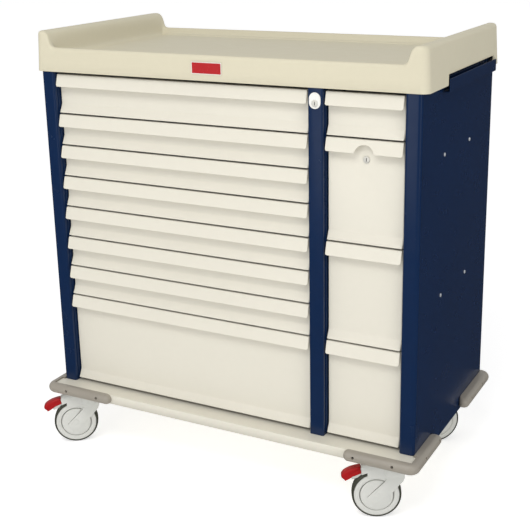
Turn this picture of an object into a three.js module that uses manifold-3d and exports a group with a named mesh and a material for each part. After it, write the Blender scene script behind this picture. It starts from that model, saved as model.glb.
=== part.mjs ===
// Medication cart: a two-bank drawer cabinet on a wheeled base.
// Millimetres, +Z up. The drawers open towards -Y. The floor is Z = 0 and the
// origin is the bottom centre of the whole object's bounding box.
import * as THREE from 'three';
import { mergeVertices } from 'three/addons/utils/BufferGeometryUtils.js';
import Module from 'manifold-3d';

const wasm = await Module();
wasm.setup();

// ---------------------------------------------------------------- dimensions
// All X and Y below are measured from the cabinet's centre plane and from the
// front face of its posts; the whole group is moved at the end.
const GAP = 0.3;               // clearance kept between touching pieces
const SHEET = 1.5;             // steel sheet thickness

const CAB_HALF_W = 530.5;      // cabinet half width
const CAB_DEPTH = 551.4;       // front of posts to rear of back panel
const CAB_TOP = 1110;          // top edge of the steel cabinet, inside the tray
const SIDE_BOTTOM = 153;       // bottom edge of the side panels
const POST_W = 40;             // face width of the outer posts
const POST_RETURN = 26;        // depth of the posts' inner return flange
const MID_X0 = 250.5, MID_X1 = 289;   // centre post

const BASE_TOP = 186.3, BASE_BOTTOM = 160.5;
const BASE_FRONT = -38, BASE_FLANGE_HALF_W = 538;

const TRAY_BOTTOM = 1073.3, TRAY_FLOOR = 1117, TRAY_LIP = 1136, TRAY_RIDGE = 1178.3;
const TRAY_FRONT = -4, TRAY_REAR = 556.5, TRAY_HALF_W = 546;
const NOTCH_Y0 = 134, NOTCH_Y1 = 501, NOTCH_TOP = 1098;

const RAIL_Y0 = 138, RAIL_Y1 = 518, RAIL_Z0 = 1057.3, RAIL_Z1 = 1090.3, RAIL_OUT = 548.5;

// drawer joints (centres of the gaps between drawer fronts)
const UNIT = 85.3;
const Z_FIRST = 193.5;
const gapZ = n => Z_FIRST + n * UNIT;
const Z_LAST = 1070.4;
const HALF_GAP = 1.9;
const LEFT_X0 = -485.5, LEFT_X1 = 246.3;
const RIGHT_X0 = 294.2, RIGHT_X1 = 486.4;
const LIP_TOP_Y = 8, LIP_OUT_Y = -1, PANEL_Y = 19, LIP_H = 32, FLARE_H = 22, FRONT_T = 2.2;
const BOX_BACK_Y = 505, BOX_WALL = 1.2;

const LOCK_X = 269.6, LOCK_Z = 1036.5, LOCK_R = 8.5;       // main lock
const DLOCK_X = 392, DLOCK_Z = 910;                        // lock of the right bank's second drawer
const RUN = 0.08;                                          // running clearance of the lock plugs

const STEM_X = 467.5, STEM_Y_FRONT = 21, STEM_Y_REAR = 476;
const WHEEL_R = 62.5, WHEEL_W = 32, TRAIL = 39;
const YAW = { front_left: 35, front_right: 25, rear_right: 42, rear_left: 30 };   // degrees

const RX = 10.8, RY = 253.91;      // the centre of the bounding box, taken off at the end

// ---------------------------------------------------------------- materials
const mat = (color, roughness, metalness = 0) => new THREE.MeshStandardMaterial({ color, roughness, metalness });
const NAVY = 0x1a2848, CREAM = 0xe6e2d3, TRAYC = 0xddd7c4, TAUPE = 0x9e968b, GREY = 0xd6d8d2,
  TYRE = 0x34352a, RED = 0xb0161c, STEEL = 0xb9bcbe, WHITE = 0xf2f2ee, ZINC = 0x9a9c9d;

// ---------------------------------------------------------------- helpers
function solid(geometry) {
  let g = geometry.clone();
  g.deleteAttribute('normal');
  g.deleteAttribute('uv');
  g = mergeVertices(g, 1e-4);
  return new wasm.Manifold(new wasm.Mesh({
    numProp: 3,
    vertProperties: new Float32Array(g.attributes.position.array),
    triVerts: new Uint32Array(g.index.array),
  }));
}
function surface(manifold) {
  const m = manifold.getMesh();
  const g = new THREE.BufferGeometry();
  g.setAttribute('position', new THREE.BufferAttribute(new Float32Array(m.vertProperties), 3));
  g.setIndex(new THREE.BufferAttribute(new Uint32Array(m.triVerts), 1));
  g.computeVertexNormals();
  return g;
}
const union = (...gs) => gs.map(solid).reduce((a, b) => a.add(b));
const cut = (base, ...gs) => gs.map(solid).reduce((a, b) => a.subtract(b), base);

const box = (x0, x1, y0, y1, z0, z1) => {
  const g = new THREE.BoxGeometry(x1 - x0, y1 - y0, z1 - z0);
  g.translate((x0 + x1) / 2, (y0 + y1) / 2, (z0 + z1) / 2);
  return g;
};
const shapeOf = pts => new THREE.Shape(pts.map(p => new THREE.Vector2(p[0], p[1])));
const flat = (pts, depth) => new THREE.ExtrudeGeometry(shapeOf(pts), { depth, bevelEnabled: false, steps: 1 });
const plan = (pts, z0, z1) => { const g = flat(pts, z1 - z0); g.translate(0, 0, z0); return g; };
const facing = (pts, y0, y1) => { const g = flat(pts, y1 - y0); g.rotateX(Math.PI / 2); g.translate(0, y1, 0); return g; };
const profile = (pts, x0, x1) => {      // points are (y, z), extruded along X
  const g = flat(pts, x1 - x0);
  g.applyMatrix4(new THREE.Matrix4().makeBasis(new THREE.Vector3(0, 1, 0), new THREE.Vector3(0, 0, 1), new THREE.Vector3(1, 0, 0)));
  g.translate(x0, 0, 0);
  return g;
};
const alongY = (r, y0, y1, seg, x = 0, z = 0) => {
  const g = new THREE.CylinderGeometry(r, r, y1 - y0, seg);
  g.translate(x, (y0 + y1) / 2, z);
  return g;
};
const arc = (cx, cy, r, a0, a1, n) => Array.from({ length: n + 1 }, (_, i) => {
  const a = (a0 + (a1 - a0) * i / n) * Math.PI / 180;
  return [cx + r * Math.cos(a), cy + r * Math.sin(a)];
});
// closed stack of loops with equal point counts, capped at both ends
function stack(loops) {
  const n = loops[0].length, pos = [], idx = [];
  for (const l of loops) for (const p of l) pos.push(p[0], p[1], p[2]);
  for (let k = 0; k < loops.length - 1; k++) for (let i = 0; i < n; i++) {
    const j = (i + 1) % n, a = k * n + i, b = k * n + j, c = (k + 1) * n + i, d = (k + 1) * n + j;
    idx.push(a, b, d, a, d, c);
  }
  const cap = (l, base, flip) => {
    for (const t of THREE.ShapeUtils.triangulateShape(l.map(p => new THREE.Vector2(p[0], p[1])), [])) {
      if (flip) idx.push(base + t[2], base + t[1], base + t[0]); else idx.push(base + t[0], base + t[1], base + t[2]);
    }
  };
  cap(loops[0], 0, true);
  cap(loops[loops.length - 1], (loops.length - 1) * n, false);
  const g = new THREE.BufferGeometry();
  g.setAttribute('position', new THREE.Float32BufferAttribute(pos, 3));
  g.setIndex(idx);
  g.computeVertexNormals();
  return g;
}

const cart = new THREE.Group();
function piece(name, geometry, material, parent = cart) {
  const mesh = new THREE.Mesh(geometry, material);
  mesh.name = name;
  parent.add(mesh);
  return mesh;
}

// ---------------------------------------------------------------- cabinet
// Side panel and outer post are one bent sheet: flat side, rounded corner,
// post face and a return flange beside the drawers.
function sidePanel(s) {
  const R = 9, x = CAB_HALF_W, xi = CAB_HALF_W - POST_W;
  const outer = [[x, CAB_DEPTH], ...arc(x - R, R, R, 0, -90, 5).map(p => [p[0], p[1]]), [xi, 0], [xi, POST_RETURN],
    [xi + SHEET, POST_RETURN], [xi + SHEET, SHEET], ...arc(x - R, R, R - SHEET, -90, 0, 5), [x - SHEET, CAB_DEPTH]];
  const pts = (s > 0 ? outer : outer.map(p => [-p[0], p[1]]).reverse()).reverse();
  const body = solid(plan(pts, BASE_TOP + GAP, CAB_TOP));
  const skirt = s > 0 ? box(x - SHEET, x, R, CAB_DEPTH, SIDE_BOTTOM, BASE_TOP + GAP + 1)
    : box(-x, -x + SHEET, R, CAB_DEPTH, SIDE_BOTTOM, BASE_TOP + GAP + 1);
  return surface(body.add(solid(skirt)));
}
piece('left_side_panel', sidePanel(-1), mat(NAVY, 0.35));
piece('right_side_panel', sidePanel(1), mat(NAVY, 0.35));
piece('back_panel', box(-CAB_HALF_W + SHEET + GAP, CAB_HALF_W - SHEET - GAP, CAB_DEPTH - SHEET, CAB_DEPTH, BASE_TOP + GAP, CAB_TOP), mat(NAVY, 0.35));

// Centre divider: a U channel whose front is the centre post.
{
  const y1 = CAB_DEPTH - SHEET - GAP;
  const u = [[MID_X0, 0], [MID_X1, 0], [MID_X1, y1], [MID_X1 - SHEET, y1], [MID_X1 - SHEET, SHEET], [MID_X0 + SHEET, SHEET], [MID_X0 + SHEET, y1], [MID_X0, y1]];
  const body = solid(plan(u, BASE_TOP + GAP, CAB_TOP));
  piece('center_divider', surface(cut(body, alongY(LOCK_R + RUN, -5, 5, 48, LOCK_X, LOCK_Z))), mat(NAVY, 0.35));
}

// Base: an inverted pan with a front flange and four caster plates.
{
  const hw = CAB_HALF_W - SHEET - GAP, fw = BASE_FLANGE_HALF_W;
  const out = [[-fw, BASE_FRONT], [fw, BASE_FRONT], [fw, -1], [hw, -1], [hw, CAB_DEPTH], [-hw, CAB_DEPTH], [-hw, -1], [-fw, -1]];
  let b = solid(plan(out, BASE_BOTTOM, BASE_TOP));
  b = cut(b, box(-hw + SHEET, hw - SHEET, BASE_FRONT + SHEET, CAB_DEPTH - SHEET, BASE_BOTTOM - 5, BASE_TOP - SHEET));
  for (const sx of [-1, 1]) for (const y of [STEM_Y_FRONT, STEM_Y_REAR]) {
    const y0 = y < 200 ? BASE_FRONT + 1 : y - 55, y1 = y < 200 ? y + 55 : CAB_DEPTH - 1;
    b = b.add(solid(box(Math.min(sx * (STEM_X - 55), sx * (hw - 1)), Math.max(sx * (STEM_X - 55), sx * (hw - 1)), y0, y1, BASE_BOTTOM, BASE_BOTTOM + 5)));
  }
  piece('base_frame', surface(b), mat(CREAM, 0.45));
}

// Slide racks: a plate at each side of a bank with one ledge under each drawer.
const LEFT_BANK = [gapZ(9), gapZ(8), gapZ(7), gapZ(6), gapZ(5), gapZ(4), gapZ(3), gapZ(0)];
const RIGHT_BANK = [gapZ(9), gapZ(6), gapZ(3), gapZ(0)];
function slideRack(x0, dir, gaps) {
  const xa = x0, xb = x0 + dir * 2, xc = x0 + dir * 15;
  const mnx = (a, b) => [Math.min(a, b), Math.max(a, b)];
  const [p0, p1] = mnx(xa, xb), [l0, l1] = mnx(xa, xc);
  let r = solid(box(p0, p1, 12, CAB_DEPTH - SHEET - GAP, 192, 1062));
  for (const g of gaps) r = r.add(solid(box(l0, l1, 40, 530, g + HALF_GAP + 1.2, g + HALF_GAP + 3.2)));
  return surface(r);
}
const FLANGE_X = CAB_HALF_W - POST_W - GAP;      // the outer racks hang on the posts' return flanges
piece('left_bank_left_slide_rack', slideRack(-FLANGE_X, 1, LEFT_BANK), mat(ZINC, 0.4, 0.8));
piece('left_bank_right_slide_rack', slideRack(MID_X0 - GAP, -1, LEFT_BANK), mat(ZINC, 0.4, 0.8));
piece('right_bank_left_slide_rack', slideRack(MID_X1 + GAP, 1, RIGHT_BANK), mat(ZINC, 0.4, 0.8));
piece('right_bank_right_slide_rack', slideRack(FLANGE_X, -1, RIGHT_BANK), mat(ZINC, 0.4, 0.8));

// ---------------------------------------------------------------- top tray
{
  const hw = TRAY_HALF_W, z0 = TRAY_BOTTOM;
  const half = [[hw, z0], [541.5, 1152], [539.5, 1168], [534, 1175.5], [524, TRAY_RIDGE], [512, TRAY_RIDGE - 1], [503.5, 1173], [499.5, 1165],
    [497.5, 1152], [491, 1142], [479, TRAY_LIP]];
  const pts = [...half, ...half.map(p => [-p[0], p[1]]).reverse()];
  let t = solid(facing(pts, TRAY_FRONT, TRAY_REAR));
  t = cut(t, box(-497.5, 497.5, 8, 545, TRAY_FLOOR, 1300),                       // recess
    box(-538, 538, TRAY_FRONT + 3.6, TRAY_REAR - 3.6, z0 - 10, TRAY_FLOOR - 4),       // hollow underside
    box(-542.4, 542.4, TRAY_FRONT + 3.6, TRAY_REAR - 3.6, z0 - 10, 1092),
    box(530, 600, NOTCH_Y0, NOTCH_Y1, z0 - 10, NOTCH_TOP),
    box(-600, -530, NOTCH_Y0, NOTCH_Y1, z0 - 10, NOTCH_TOP));
  piece('top_tray', surface(t), mat(TRAYC, 0.5));
}

// Accessory rails: upward-open channels on the cabinet's sides.
for (const s of [-1, 1]) {
  const a = CAB_HALF_W + GAP, b = RAIL_OUT;
  const u = [[a, RAIL_Z0], [b, RAIL_Z0], [b, RAIL_Z1], [b - SHEET, RAIL_Z1], [b - SHEET, RAIL_Z0 + SHEET], [a + SHEET, RAIL_Z0 + SHEET], [a + SHEET, RAIL_Z1], [a, RAIL_Z1]];
  const pts = s > 0 ? u : u.map(p => [-p[0], p[1]]).reverse();
  piece(s > 0 ? 'right_accessory_rail' : 'left_accessory_rail', facing(pts, RAIL_Y0, RAIL_Y1), mat(NAVY, 0.35));
}

// ---------------------------------------------------------------- bumpers
// L-shaped corner bumper with a D section. la and lb are the leg lengths along
// X and along Y, measured from the outer corner. sx, sy pick the corner.
const BUMP_R = 14.5, BUMP_Z = 175;
function bumper(sx, sy, la, lb) {
  const outX = 558, inX = CAB_HALF_W + GAP;                 // side leg, from the side panel
  const inFx = BASE_FLANGE_HALF_W + GAP;
  const outY = sy < 0 ? -57 : CAB_DEPTH + 19, inY = sy < 0 ? BASE_FRONT - GAP : CAB_DEPTH + GAP;
  const sgn = sy < 0 ? -1 : 1;
  const C = 26;                                             // outer corner radius in plan
  const levels = [-1, -0.92, -0.7, -0.38, 0, 0.38, 0.7, 0.92, 1];
  const loops = levels.map(t => {
    const inset = BUMP_R * (1 - Math.sqrt(Math.max(0, 1 - t * t)));
    const oX = outX - inset, oY = outY - sgn * inset, c = C - inset;
    // in a local quadrant: u along +X outward, v outward from the cabinet along sgn*Y
    const U = oX, V = sgn * oY;
    const pts = [];
    const endA = outX - la + inset, endB = sgn * outY - lb + inset;      // leg ends
    const r = Math.max(2, 12 - inset);
    const vi = sgn * inY;                          // inner face of the front or rear leg
    // start on the inner face at the X leg's end, then round the outside
    pts.push([endA, vi]);
    pts.push(...arc(endA + r, V - r, r, 180, 90, 3));
    pts.push(...arc(U - c, V - c, c, 90, 0, 6));
    const re = (U - inX) / 2;                      // the side leg's end is a full round in plan
    pts.push(...arc(inX + re, endB + re, re, 0, -180, 6));
    if (sy < 0) { pts.push([inX, 0.7]); pts.push([inFx, 0.7]); pts.push([inFx, vi]); } else pts.push([inX, vi]);
    return pts.map(p => [sx * p[0], sgn * p[1], BUMP_Z + t * BUMP_R]);
  });
  // keep the loops anticlockwise seen from above
  const area = loops[4].reduce((s, p, i, l) => { const q = l[(i + 1) % l.length]; return s + p[0] * q[1] - q[0] * p[1]; }, 0);
  return stack(area > 0 ? loops : loops.map(l => l.slice().reverse()));
}
piece('front_left_bumper', bumper(-1, -1, 222, 222), mat(TAUPE, 0.55));
piece('front_right_bumper', bumper(1, -1, 191, 196), mat(TAUPE, 0.55));
piece('rear_right_bumper', bumper(1, 1, 222, 222), mat(TAUPE, 0.55));
piece('rear_left_bumper', bumper(-1, 1, 222, 222), mat(TAUPE, 0.55));

// ---------------------------------------------------------------- drawers
function frontProfile(z0, z1) {
  const h = z1;
  return [[LIP_TOP_Y, h], [LIP_OUT_Y, h - LIP_H], [LIP_OUT_Y + FRONT_T, h - LIP_H - 0.6], [LIP_TOP_Y + FRONT_T, h - 2.8], [PANEL_Y, h - 2.8],
    [PANEL_Y, z0 + FLARE_H], [LIP_TOP_Y, z0], [LIP_TOP_Y + FRONT_T + 0.3, z0], [PANEL_Y + FRONT_T, z0 + FLARE_H + 0.4], [PANEL_Y + FRONT_T, h]].reverse();
}
function openBox(x0, x1, y0, y1, z0, z1, t) {
  return surface(cut(solid(box(x0, x1, y0, y1, z0, z1)), box(x0 + t, x1 - t, y0 + t, y1 - t, z0 + t, z1 + 50)));
}
function drawer(name, x0, x1, zLow, zHigh, locked = false) {
  const z0 = zLow + HALF_GAP, z1 = zHigh - HALF_GAP;
  let f = solid(profile(frontProfile(z0, z1), x0, x1));
  if (locked) {
    const moon = alongY(24.5, -20, PANEL_Y - 0.5, 40, DLOCK_X, z1 - LIP_H - 2);
    f = cut(f, moon, alongY(LOCK_R + RUN, PANEL_Y - 5, PANEL_Y + 12, 48, DLOCK_X, DLOCK_Z));
  }
  piece(name + '_front', surface(f), mat(CREAM, 0.4));
  // the box hangs on the rack ledges, inside the bank's slides
  const inset = 8;
  piece(name + '_box', openBox(x0 + inset, x1 - inset, PANEL_Y + FRONT_T + GAP, BOX_BACK_Y, z0 + 3.2 + GAP, Math.min(z1 - 9, z0 + 3.2 + GAP + (zHigh - zLow) * 0.8), BOX_WALL), mat(STEEL, 0.45, 0.3));
}
const leftTops = [Z_LAST, gapZ(9), gapZ(8), gapZ(7), gapZ(6), gapZ(5), gapZ(4), gapZ(3)];
LEFT_BANK.forEach((low, i) => drawer('left_drawer_' + (i + 1), LEFT_X0, LEFT_X1, low, leftTops[i]));
const rightTops = [Z_LAST, gapZ(9), gapZ(6), gapZ(3)];
RIGHT_BANK.forEach((low, i) => drawer('right_drawer_' + (i + 1), RIGHT_X0, RIGHT_X1, low, rightTops[i], i === 1));

// ---------------------------------------------------------------- locks
{
  const ob = [...arc(LOCK_X, 1043 + 4.8, 14.6, 0, 180, 12), ...arc(LOCK_X, 1043 - 4.8, 14.6, 180, 360, 12)];
  const e = cut(solid(facing(ob, -2 - GAP, -GAP)), alongY(LOCK_R + RUN, -5, 5, 48, LOCK_X, LOCK_Z));
  piece('lock_escutcheon', surface(e), mat(WHITE, 0.35));
  const slot = (x, y0, z) => box(x - 1, x + 1, y0, y0 + 3, z - 4.5, z + 4.5);
  const plug = cut(solid(alongY(LOCK_R, -3.2, 26, 48, LOCK_X, LOCK_Z)), slot(LOCK_X, -4, LOCK_Z));
  piece('main_lock_cylinder', surface(plug), mat(STEEL, 0.25, 0.9));
  const dplug = cut(solid(alongY(LOCK_R, PANEL_Y - 3, PANEL_Y + FRONT_T, 48, DLOCK_X, DLOCK_Z)), slot(DLOCK_X, PANEL_Y - 4, DLOCK_Z));
  piece('drawer_lock_cylinder', surface(dplug), mat(STEEL, 0.25, 0.9));
  // locking bar inside the centre channel
  piece('lock_bar', box(LOCK_X - 10, LOCK_X + 10, 32, 36, 215, 1050), mat(ZINC, 0.4, 0.8));
}
// blank plate on the tray's front
piece('blank_nameplate', facing([[-59, 1092.7], [21, 1092.7], [21, 1117.5], [-59, 1117.5]], TRAY_FRONT - 1.6, TRAY_FRONT - GAP), mat(0xb9272c, 0.3));

// ---------------------------------------------------------------- casters
// Local frame: the swivel axis is Z through the origin, the wheel trails
// towards -X and its axle lies along Y.
const ccw = l => l.reduce((s, p, i) => { const q = l[(i + 1) % l.length]; return s + p[0] * q[1] - q[0] * p[1]; }, 0) > 0 ? l : l.slice().reverse();
function ringAlongY(pts, seg) {        // pts are (radius, y), closed on itself
  const g = new THREE.LatheGeometry(ccw(pts).concat([ccw(pts)[0]]).map(p => new THREE.Vector2(p[0], p[1])), seg);
  return g;
}
const DISC_R = 41.2, LEG_OUT = 18.6, LEG_IN = 12.2;
const PIVOT = [-86, 121.5], ARM_W = 9.5, PIN_R = 2.5;
function forkGeometry(braked) {
  const cx = -TRAIL, cz = WHEEL_R;
  const tail = braked ? [[-60, 111.5], [-76.3, 111.5], [-76.3, 121], [-78.6, 140], [-76, 143]] : [[-60, 113.5], [-68, 122], [-66, 138]];
  const hood = ccw([[30, 160], [30, 114], [-14, 112.5], ...tail, [-66, 150.5], [-48, 154.5], [-26, 158.5], [-10, 160]]);
  let f = solid(facing(hood, -21, 21));
  f = f.intersect(solid(plan(ccw([...arc(0, 0, 30, -42, 42, 6), [-12, 21], [-50, 19.5], [-80, 12.5], [-80, -12.5], [-50, -19.5], [-12, -21]]), 0, 200)));
  f = f.add(solid(plan(arc(0, 0, 30, 0, 342, 19), 128, 160.2)));
  if (braked) {                          // the bracket that carries the brake pedal, with its hinge pin
    const arm = ccw([[-70, 136], [-80, 134], [-89, 126.5], [-98.5, 111.5], [-102.5, 106.3], [-100.5, 101], [-88.7, 106.5], [-76, 110], [-70, 111.5]]);
    f = f.add(solid(facing(arm, -ARM_W, ARM_W))).add(solid(alongY(PIN_R, -11.2, 11.2, 16, PIVOT[0], PIVOT[1])));
  }
  f = cut(f, alongY(WHEEL_R + 3, -WHEEL_W / 2 - 1, WHEEL_W / 2 + 1, 24, cx, cz));
  const leg = ccw([[29, 128], [28.5, 112], [26.5, 104], [16, 91], [12.5, 84], [5, 77], ...arc(cx, cz, DISC_R, 15, -225, 12).slice(1), ...arc(cx, cz, DISC_R, -245, -285, 2), [-15, 107], [-14.5, 128]]);
  for (const s of [-1, 1]) {
    const y0 = s > 0 ? WHEEL_W / 2 + 0.6 : -LEG_OUT, y1 = s > 0 ? LEG_OUT : -WHEEL_W / 2 - 0.6;
    f = f.add(solid(facing(leg, y0, y1)));
    f = f.add(solid(alongY(DISC_R, s > 0 ? LEG_IN : -LEG_OUT + 0.5, s > 0 ? LEG_OUT - 0.5 : -LEG_IN, 24, cx, cz)));
  }
  f = f.add(solid(alongY(5, -15, 15, 20, cx, cz)));
  return surface(f);
}
const wheelGeometry = ringAlongY([[5.06, -11], [5.06, 11], [42.6, 11], [42.6, 15], [56.2, 15], [57, 13.5], [57, -13.5], [56.2, -15], [42.6, -15], [42.6, -11]], 28);
const tyreGeometry = ringAlongY([[57.3, -13.4], [57.3, 13.4], [58.6, 15.8], [61, 15.2], [WHEEL_R, 9], [WHEEL_R, -9], [61, -15.2], [58.6, -15.8]], 28);
// The pedal is a hollow cap over the bracket, open below and at its butt end.
function pedalGeometry() {
  const cap = ccw([[-79.5, 138], [-93, 135], [-106, 131], [-117, 125], [-124, 119.5], [-128.3, 112], [-126.5, 106], [-122, 102], [-117.8, 99.5],
    [-112, 102], [-104.4, 106.4], [-100, 111], [-77.3, 121]]);
  const room = ccw([[-70, 138], [-79.8, 135.7], [-92.5, 132.8], [-105.2, 128.9], [-115.8, 123.2], [-122.2, 118.3], [-125.9, 112], [-124.4, 107.2], [-121, 104.2],
    [-116, 99], [-108, 86], [-70, 86]]);
  let p = cut(solid(facing(cap, -12.2, 12.2)), facing(room, -10.2, 10.2));
  p = cut(p, alongY(PIN_R + 0.35, -11.6, 11.6, 16, PIVOT[0], PIVOT[1]));
  return surface(p);
}
for (const [corner, sx, y] of [['front_left', -1, STEM_Y_FRONT], ['front_right', 1, STEM_Y_FRONT], ['rear_right', 1, STEM_Y_REAR], ['rear_left', -1, STEM_Y_REAR]]) {
  const c = new THREE.Group();
  c.position.set(sx * STEM_X, y, 0);
  c.rotation.z = YAW[corner] * Math.PI / 180;
  cart.add(c);
  const braked = corner.startsWith('front');
  piece(corner + '_caster_fork', forkGeometry(braked), mat(GREY, 0.45), c);
  const w = new THREE.Group();
  w.position.set(-TRAIL, 0, WHEEL_R);
  c.add(w);
  piece(corner + '_wheel', wheelGeometry, mat(GREY, 0.45), w);
  piece(corner + '_tyre', tyreGeometry, mat(TYRE, 0.7), w);
  if (braked) piece(corner + '_brake_pedal', pedalGeometry(), mat(RED, 0.35), c);
}

cart.position.set(RX, -RY, 0);

export default cart;
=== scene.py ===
# Medication cart: the looks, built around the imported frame.
import math

import bmesh
import bpy
from mathutils import Matrix, Vector

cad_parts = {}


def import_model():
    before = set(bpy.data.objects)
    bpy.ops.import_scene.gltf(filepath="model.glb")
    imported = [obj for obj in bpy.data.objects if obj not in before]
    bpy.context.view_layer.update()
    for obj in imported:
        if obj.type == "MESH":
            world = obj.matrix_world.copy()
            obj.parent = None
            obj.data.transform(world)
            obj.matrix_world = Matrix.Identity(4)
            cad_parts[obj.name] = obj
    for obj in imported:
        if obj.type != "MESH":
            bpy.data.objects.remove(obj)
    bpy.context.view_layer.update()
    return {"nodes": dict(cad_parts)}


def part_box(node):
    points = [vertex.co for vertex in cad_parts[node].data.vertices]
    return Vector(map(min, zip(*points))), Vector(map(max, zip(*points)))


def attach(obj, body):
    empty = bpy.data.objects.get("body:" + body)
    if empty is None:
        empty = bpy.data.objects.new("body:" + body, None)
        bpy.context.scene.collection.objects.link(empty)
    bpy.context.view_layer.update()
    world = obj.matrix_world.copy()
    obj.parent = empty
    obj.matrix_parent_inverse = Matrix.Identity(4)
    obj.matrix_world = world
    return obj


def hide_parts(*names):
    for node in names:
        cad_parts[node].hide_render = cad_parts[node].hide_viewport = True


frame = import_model()
NODES = frame["nodes"]
D2R = math.pi / 180

# The design's own coordinates are in millimetres, X from the cabinet's centre
# plane and Y from the front of its posts. OX and OY carry them to the frame.
_lo, _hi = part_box("center_divider")
OX, OY = _lo.x * 1000 - 250.5, _lo.y * 1000


def F(x, y, z):
    return Vector(((x + OX) / 1000, (y + OY) / 1000, z / 1000))


# ------------------------------------------------------------------ materials
def material(name, color, rough, metallic=0.0, spec=0.5, coat=0.0, coat_rough=0.1,
             vary=0.03, vary_scale=6.0, rough_vary=0.05, bump=0.0, bump_scale=900.0,
             bump_depth=0.0004, bump2=0.0, bump2_scale=60.0, speck=0.0, speck_scale=700.0,
             painted_edge_highlight=0.0, painted_edge_highlight_color=None, painted_edge_highlight_radius=0.0006, dust=0.0, sheen=0.0, bump_kind="noise"):
    """A procedural material: base colour with slow and fine variation, roughness with its own noise, micro relief and,
    where asked, a painted highlight: lighter colour along the edges."""
    m = bpy.data.materials.new(name)
    m.use_nodes = True
    nt = m.node_tree
    n, l = nt.nodes, nt.links
    n.clear()
    out = n.new("ShaderNodeOutputMaterial")
    b = n.new("ShaderNodeBsdfPrincipled")
    l.new(b.outputs["BSDF"], out.inputs["Surface"])
    b.inputs["Metallic"].default_value = metallic
    b.inputs["Specular IOR Level"].default_value = spec
    b.inputs["Coat Weight"].default_value = coat
    b.inputs["Coat Roughness"].default_value = coat_rough
    b.inputs["Sheen Weight"].default_value = sheen
    tc = n.new("ShaderNodeTexCoord")
    co = tc.outputs["Object"]

    def noise(scale, detail=3.0, rough_=0.5):
        t = n.new("ShaderNodeTexNoise")
        t.inputs["Scale"].default_value = scale
        t.inputs["Detail"].default_value = detail
        t.inputs["Roughness"].default_value = rough_
        l.new(co, t.inputs["Vector"])
        return t.outputs["Fac"]

    def maprange(src, a, b_):
        t = n.new("ShaderNodeMapRange")
        t.inputs["From Min"].default_value = 0.25
        t.inputs["From Max"].default_value = 0.75
        t.inputs["To Min"].default_value = a
        t.inputs["To Max"].default_value = b_
        l.new(src, t.inputs["Value"])
        return t.outputs["Result"]

    def math_(op, a, b_):
        t = n.new("ShaderNodeMath")
        t.operation = op
        for i, v in enumerate((a, b_)):
            if isinstance(v, (int, float)):
                t.inputs[i].default_value = v
            else:
                l.new(v, t.inputs[i])
        return t.outputs[0]

    def mix(fac, a, b_):
        t = n.new("ShaderNodeMix")
        t.data_type = "RGBA"
        if isinstance(fac, (int, float)):
            t.inputs["Factor"].default_value = fac
        else:
            l.new(fac, t.inputs["Factor"])
        for key, v in (("A", a), ("B", b_)):
            s = [i for i in t.inputs if i.name == key and i.type == "RGBA"][0]
            if isinstance(v, (tuple, list)):
                s.default_value = (*v[:3], 1)
            else:
                l.new(v, s)
        return [o for o in t.outputs if o.type == "RGBA"][0]

    slow = maprange(noise(vary_scale, 4.0), 1 - vary, 1 + vary)
    fine = maprange(noise(vary_scale * 22, 2.0), 1 - vary * 0.5, 1 + vary * 0.5)
    value = math_("MULTIPLY", slow, fine)
    hsv = n.new("ShaderNodeHueSaturation")
    hsv.inputs["Color"].default_value = (*color, 1)
    l.new(value, hsv.inputs["Value"])
    col = hsv.outputs["Color"]
    if speck:
        s = noise(speck_scale, 1.0)
        r = n.new("ShaderNodeMapRange")
        r.inputs["From Min"].default_value = 0.62
        r.inputs["From Max"].default_value = 0.75
        l.new(s, r.inputs["Value"])
        col = mix(math_("MULTIPLY", r.outputs["Result"], speck), col, tuple(min(1, c * 1.9 + 0.05) for c in color))
    # painted highlight: edges found by the bevel normal get a lighter colour, as if they were catching the light
    if painted_edge_highlight:
        bv = n.new("ShaderNodeBevel")
        bv.samples = 4
        bv.inputs["Radius"].default_value = painted_edge_highlight_radius
        geo = n.new("ShaderNodeNewGeometry")
        dot = n.new("ShaderNodeVectorMath")
        dot.operation = "DOT_PRODUCT"
        l.new(bv.outputs["Normal"], dot.inputs[0])
        l.new(geo.outputs["Normal"], dot.inputs[1])
        e = n.new("ShaderNodeMapRange")
        e.inputs["From Min"].default_value = 0.995
        e.inputs["From Max"].default_value = 0.90
        l.new(dot.outputs["Value"], e.inputs["Value"])
        w = math_("MULTIPLY", e.outputs["Result"], maprange(noise(90, 3), painted_edge_highlight * 0.5, painted_edge_highlight))
        col = mix(w, col, painted_edge_highlight_color or tuple(min(1, c * 1.25 + 0.03) for c in color))
    if dust:
        geo2 = n.new("ShaderNodeNewGeometry")
        sep = n.new("ShaderNodeSeparateXYZ")
        l.new(geo2.outputs["Normal"], sep.inputs[0])
        up = math_("MAXIMUM", sep.outputs["Z"], 0.0)
        w = math_("MULTIPLY", up, maprange(noise(40, 5), dust * 0.3, dust))
        col = mix(w, col, (0.62, 0.60, 0.55))
    l.new(col, b.inputs["Base Color"])
    l.new(maprange(noise(vary_scale * 9, 4.0), max(0.02, rough - rough_vary), min(1, rough + rough_vary)),
          b.inputs["Roughness"])
    if bump or bump2:
        height = None
        if bump:
            if bump_kind == "voronoi":
                t = n.new("ShaderNodeTexVoronoi")
                t.feature = "SMOOTH_F1"
                t.inputs["Scale"].default_value = bump_scale
                l.new(co, t.inputs["Vector"])
                src = t.outputs["Distance"]
            else:
                src = noise(bump_scale, 2.0)
            height = math_("MULTIPLY", src, bump)
        if bump2:
            h2 = math_("MULTIPLY", noise(bump2_scale, 2.0), bump2)
            height = math_("ADD", height, h2) if height is not None else h2
        bp = n.new("ShaderNodeBump")
        bp.inputs["Strength"].default_value = 1.0
        bp.inputs["Distance"].default_value = bump_depth
        l.new(height, bp.inputs["Height"])
        l.new(bp.outputs["Normal"], b.inputs["Normal"])
        if coat:
            l.new(bp.outputs["Normal"], b.inputs["Coat Normal"])
    return m


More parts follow.
